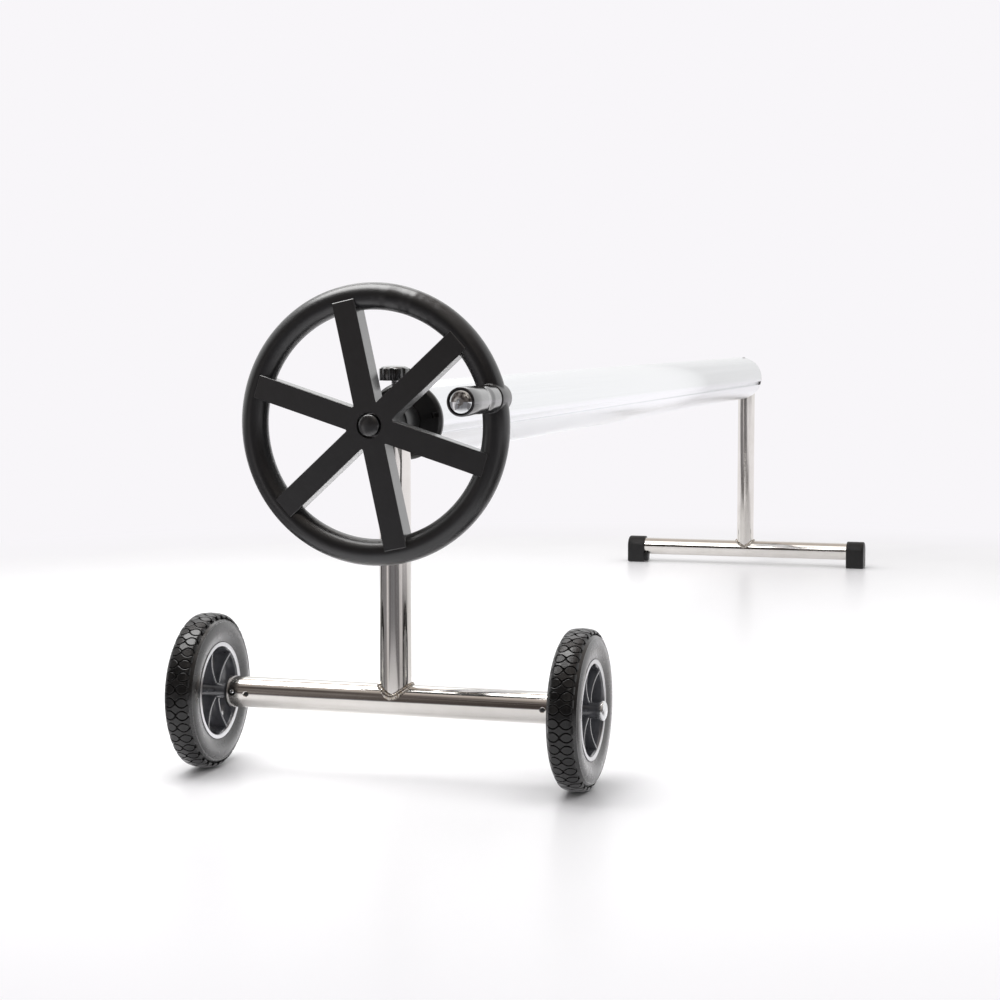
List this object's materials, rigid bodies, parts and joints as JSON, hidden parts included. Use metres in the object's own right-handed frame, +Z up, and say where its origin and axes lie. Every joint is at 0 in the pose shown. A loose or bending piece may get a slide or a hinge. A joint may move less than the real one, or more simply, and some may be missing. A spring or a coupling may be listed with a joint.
{
  "type": "pool cover reel",
  "caption": "Swimming pool cover reel: grooved aluminium tube on two steel stands, with a spoked hand wheel, crank grip, star knob brake and transport wheels.",
  "frame": {"origin": "on the floor, at the centre of the bounding box in X and Y, under the reel axis", "axes": "+X runs along the reel from the hand wheel to the far stand, +Y to the left seen from the hand wheel, +Z up"},
  "size_m": [2.7462, 0.5706, 0.622],
  "materials": {
    "polished_stainless": "polished",
    "shaft_steel": "ground",
    "satin_aluminium": "satin anodised",
    "black_nylon": "moulded, satin",
    "hand_wheel_black": "moulded, satin",
    "gloss_black": "glossy",
    "black_rubber": "matt",
    "tyre_rubber": "moulded rubber",
    "wheel_grey": "moulded, satin",
    "bush_acetal": "smooth",
    "zinc_plated_steel": "zinc plated",
    "bright_chrome": "polished",
    "insert_brass": "turned"
  },
  "bodies": {
    "near_stand": {"near_post": "polished_stainless", "near_cross_tube": "polished_stainless", "near_bearing_housing": "black_nylon", "near_bush": "bush_acetal", "near_post_screw": "zinc_plated_steel", "brake_insert": "insert_brass", "axle_plug_left": "black_nylon", "axle_plug_screw_left": "zinc_plated_steel", "stub_axle_left": "zinc_plated_steel", "wheel_washer_left": "zinc_plated_steel", "wheel_cap_left": "bright_chrome", "axle_plug_right": "black_nylon", "axle_plug_screw_right": "zinc_plated_steel", "stub_axle_right": "zinc_plated_steel", "wheel_washer_right": "zinc_plated_steel", "wheel_cap_right": "bright_chrome"},
    "far_stand": {"far_post": "polished_stainless", "far_cross_tube": "polished_stainless", "far_bearing_housing": "black_nylon", "far_bush": "bush_acetal", "far_post_screw": "zinc_plated_steel", "foot_cap_left": "black_rubber", "foot_cap_right": "black_rubber"},
    "reel": {"reel_tube": "satin_aluminium", "near_reel_plug": "black_nylon", "near_plug_pin": "zinc_plated_steel", "near_tube_screw_upper": "zinc_plated_steel", "near_tube_screw_lower": "zinc_plated_steel", "near_shaft": "shaft_steel", "far_reel_plug": "black_nylon", "far_plug_pin": "zinc_plated_steel", "far_tube_screw_upper": "zinc_plated_steel", "far_tube_screw_lower": "zinc_plated_steel", "far_shaft": "shaft_steel", "far_collar": "zinc_plated_steel", "far_collar_screw": "zinc_plated_steel", "hand_wheel": "hand_wheel_black", "hand_wheel_pin": "zinc_plated_steel", "hub_washer": "zinc_plated_steel", "hub_bolt": "zinc_plated_steel", "hub_cap": "hand_wheel_black", "grip_washer": "black_rubber", "grip_bolt": "bright_chrome", "grip_nut": "zinc_plated_steel"},
    "grip": {"grip": "gloss_black"},
    "wheel_left": {"wheel_rim_left": "wheel_grey", "wheel_tyre_left": "tyre_rubber"},
    "wheel_right": {"wheel_rim_right": "wheel_grey", "wheel_tyre_right": "tyre_rubber"},
    "brake_pad": {"brake_pad": "bush_acetal"},
    "brake_screw": {"brake_stud": "zinc_plated_steel", "brake_knob": "gloss_black"}
  },
  "joints": [
    {"name": "reel_spin", "type": "hinge", "parent": "near_stand", "child": "reel", "pos_m": [-1.16935, 0, 0.45], "axis": [1, 0, 0], "continuous": true},
    {"name": "grip_spin", "type": "hinge", "parent": "reel", "child": "grip", "pos_m": [-1.31935, -0.15187, 0.48339], "axis": [1, 0, 0], "continuous": true},
    {"name": "far_stand_swing", "type": "hinge", "parent": "near_stand", "child": "far_stand", "pos_m": [1.33065, 0, 0.45], "axis": [1, 0, 0], "continuous": true},
    {"name": "wheel_spin_left", "type": "hinge", "parent": "near_stand", "child": "wheel_left", "pos_m": [-1.16935, 0.2576, 0.1], "axis": [0, 1, 0], "continuous": true},
    {"name": "wheel_spin_right", "type": "hinge", "parent": "near_stand", "child": "wheel_right", "pos_m": [-1.16935, -0.2396, 0.1], "axis": [0, 1, 0], "continuous": true},
    {"name": "brake_slide", "type": "slide", "parent": "near_stand", "child": "brake_pad", "axis": [0, 0, -1], "range_m": [0, 0.004]},
    {"name": "brake_turn", "type": "hinge", "parent": "brake_pad", "child": "brake_screw", "pos_m": [-1.16935, 0, 0.495], "axis": [0, 0, -1], "range_deg": [0, 1150]}
  ],
  "couplings": [
    {"joint": "brake_slide", "follows": "brake_turn", "m_per_rad": 0.00019894}
  ]
}
